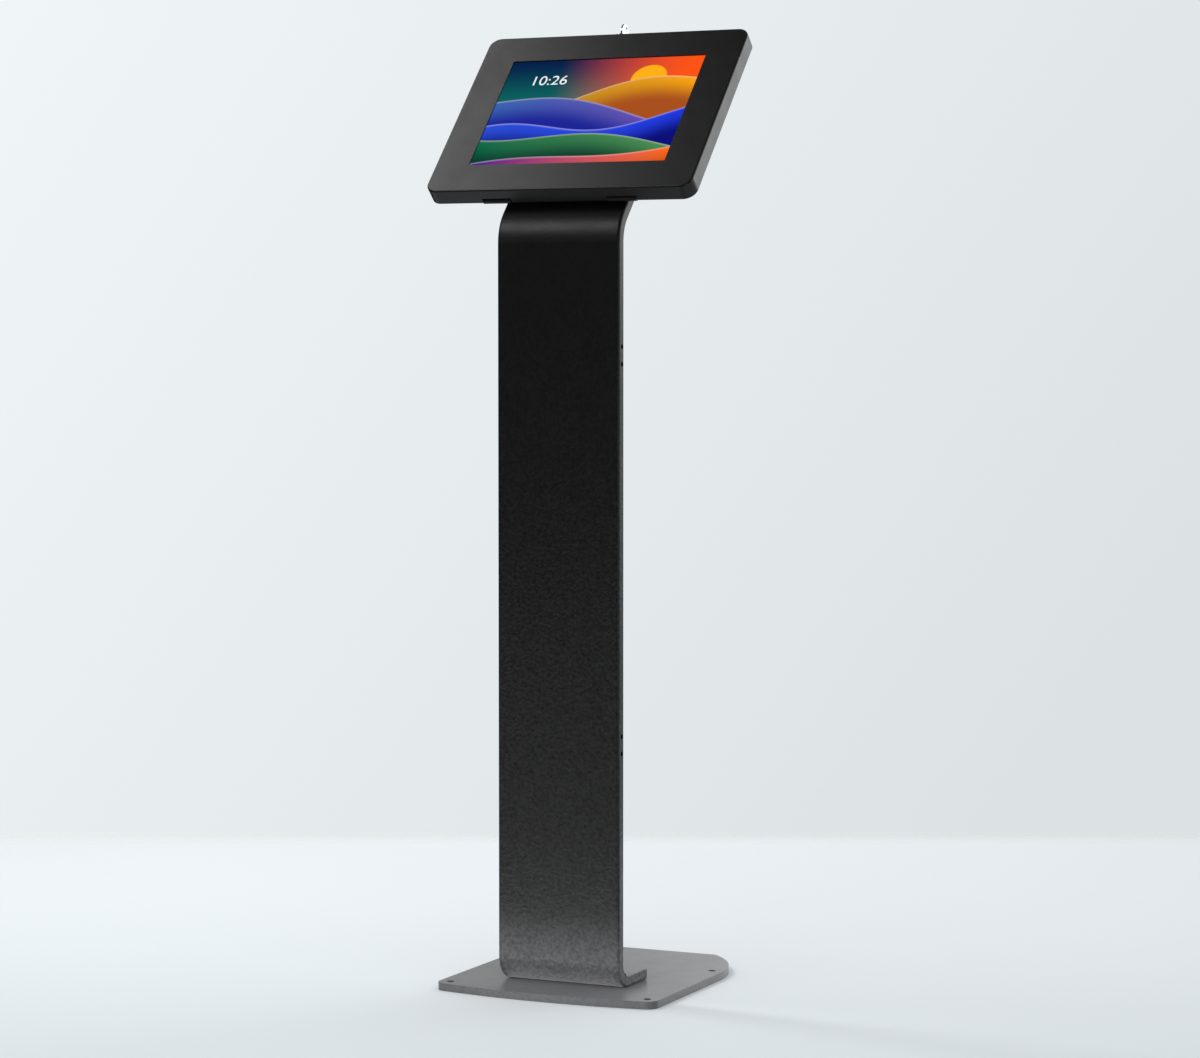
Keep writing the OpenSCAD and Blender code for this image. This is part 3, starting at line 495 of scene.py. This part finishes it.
# The mirrored wall stands behind the stand and to its right, and is greyer below the horizon
behind_right = (0.7, 1, 0)
wall_start = 0.57
wall_end = 0.68
horizon_low = -0.05
horizon_high = 0.03
rise = add(tree, "ShaderNodeSeparateXYZ", "Z", {0: sight})
horizon = add(tree, "ShaderNodeMapRange", "Result",
              {"Value": rise, "From Min": horizon_low, "From Max": horizon_high},
              interpolation_type="SMOOTHSTEP")
wall = add(tree, "ShaderNodeMix", mix_out,
           {0: horizon, mix_a: linear("#9c9fa1"), mix_b: linear("#f6f9fb")}, data_type="RGBA")
to_wall = add(tree, "ShaderNodeVectorMath", "Value", {0: sight, 1: behind_right}, operation="DOT_PRODUCT")
wall_part = add(tree, "ShaderNodeMapRange", "Result",
                {"Value": to_wall, "From Min": wall_start, "From Max": wall_end},
                interpolation_type="SMOOTHSTEP")
mirrored = add(tree, "ShaderNodeMix", mix_out,
               {0: wall_part, mix_a: linear("#101011"), mix_b: wall}, data_type="RGBA")
glossy = add(tree, "ShaderNodeLightPath", "Is Glossy Ray", {})
shone = add(tree, "ShaderNodeMix", mix_out,
            {0: glossy, mix_a: linear("#d2d5d7"), mix_b: mirrored}, data_type="RGBA")
seen = add(tree, "ShaderNodeLightPath", "Is Camera Ray", {})
room = add(tree, "ShaderNodeMix", mix_out, {0: seen, mix_a: shone, mix_b: backdrop}, data_type="RGBA")
connect(tree.nodes["Background"], {"Color": room, "Strength": 1.0})


# Lamps
# Soft studio lamps above, behind and low in front of the stand, unseen by the camera. A flag
# keeps a lamp off the floor or off a piece, as a card on a stand does in a studio.
def softbox(name, place, aim, size, watts, off=()):
    """A rectangular lamp that faces a point and is flagged off some objects."""
    data = bpy.data.lights.new(name, "AREA")
    data.shape = "RECTANGLE"
    data.size, data.size_y = size
    data.energy = watts
    lamp = bpy.data.objects.new(name, data)
    lamp.location = place
    lamp.rotation_euler = (Vector(aim) - Vector(place)).to_track_quat("-Z", "Y").to_euler()
    lamp.visible_camera = False
    scene.collection.objects.link(lamp)
    if off:
        flag = bpy.data.collections.new(name + "_flag")
        lamp.light_linking.receiver_collection = flag
        for number, thing in enumerate(off):
            flag.objects.link(thing)
            flag.collection_objects[number].light_linking.link_state = "EXCLUDE"


# The enclosure and the upper column are lit from above
softbox("left_softbox", (-1.04, -0.03, 2.05), aim=(0, 0, 0.9), size=(0.8, 0.8), watts=5.5,
        off=[nodes["tablet_glass"], clock])
softbox("back_right_strip", (0.62, 0.98, 1.1), aim=(0.1, 0, 0.9), size=(0.35, 0.6), watts=1.25)
softbox("front_left_lamp", (-0.8, -1.1, 1.83), aim=(0, -0.09, 0.8), size=(0.4, 0.45), watts=4.6, off=[floor])

# Thin strips no higher than the base light its edges, and one on the base lights the foot's bend
base_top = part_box("base_plate")[1].z
base_edge = base_top / 2
edge_strip = 6 * mm
bend_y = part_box("column")[0].y + 8 * mm
bend_strip = base_top + 0.4 * mm
softbox("near_front_strip", (-0.03, -0.3, base_edge), aim=(-0.03, -0.09, base_edge), size=(0.5, edge_strip),
        watts=0.23, off=[floor])
softbox("foot_bounce", (0, bend_y, bend_strip), aim=(0, bend_y, 0.1), size=(0.134, 0.034), watts=0.008,
        off=[floor, nodes["base_plate"]])
softbox("low_right_strip", (0.3, 0.37, 0.02), aim=(0.1, 0, 0.01), size=(0.3, 0.03), watts=0.09, off=[floor])
softbox("right_edge_strip", (0.32, 0.3, base_edge), aim=(0.12, 0, base_edge), size=(0.35, edge_strip),
        watts=0.42, off=[floor, nodes["column"]])

# One lamp at the left lights the floor alone, with the stand's shadow to the right
softbox("floor_lamp", (-1.3, 0.12, 1.6), aim=(0.2, 0, 0), size=(0.25, 0.25), watts=6.3, off=nodes.values())

# The lower column is lit from low in front, and the base's top shines with a softbox at the back
back_reach = 5.3
back_aside = 0.4
back_rise = 0.6
back_place = under_camera + ahead * back_reach + aside * back_aside
back_place.z = back_rise
softbox("far_front_strip", (-0.5, -1.1, 0.05), aim=(0, -0.09, 0.05), size=(0.6, 0.1), watts=0.62,
        off=[floor])
softbox("right_front_strip", (1.2, -1.0, 0.4), aim=(0.07, -0.05, 0.4), size=(0.3, 0.8), watts=2.0,
        off=[floor])
softbox("low_back_softbox", back_place, aim=(0, 0, 0.1), size=(2.4, 0.8), watts=3.2)
